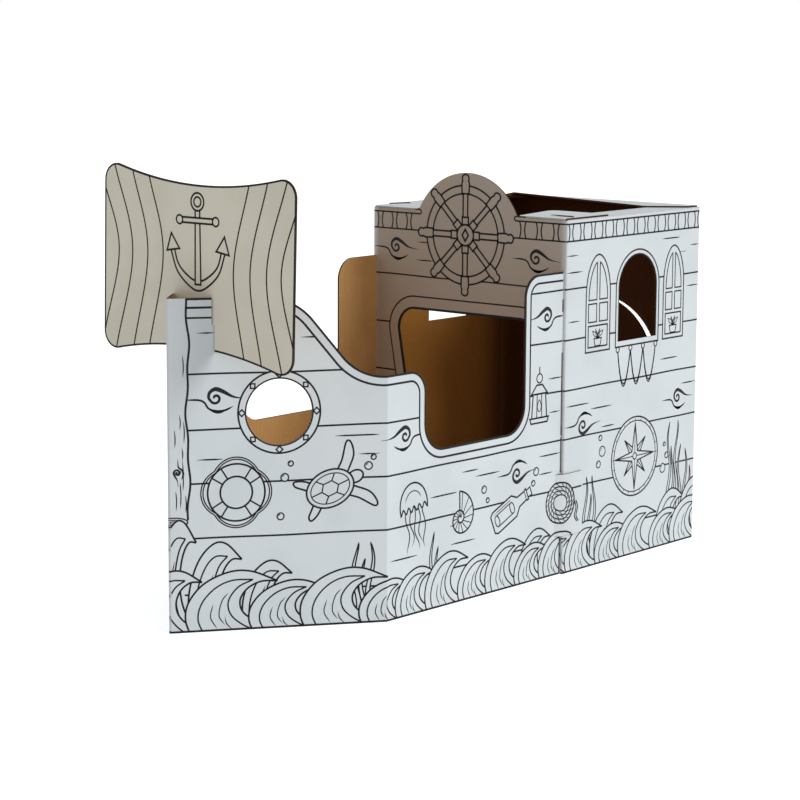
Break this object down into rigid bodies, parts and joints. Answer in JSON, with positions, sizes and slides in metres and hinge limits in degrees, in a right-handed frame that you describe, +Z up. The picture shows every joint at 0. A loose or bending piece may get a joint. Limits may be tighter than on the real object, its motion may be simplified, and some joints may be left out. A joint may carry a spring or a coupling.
{
  "type": "cardboard playhouse",
  "caption": "Folded cardboard playhouse in the shape of a ship: an open-topped cabin with arched windows, a pointed bow with portholes, and a flag slotted across the prow.",
  "frame": {"origin": "on the floor, under the middle of the whole ship", "axes": "+X from the prow to the stern, +Y to the far side, +Z up"},
  "size_m": [1.662, 0.643, 1.0561],
  "materials": {
    "printed_board": "matte white-faced corrugated board, black line print outside, kraft brown inside",
    "flag_board": "matte corrugated board, taupe print",
    "kraft": "bare kraft paper of the inside and the cut edges",
    "ink": "matte black printed line"
  },
  "bodies": {
    "root": {"cabin_wrap": "printed_board", "bow_wrap": "printed_board", "flag": "flag_board"}
  },
  "joints": []
}
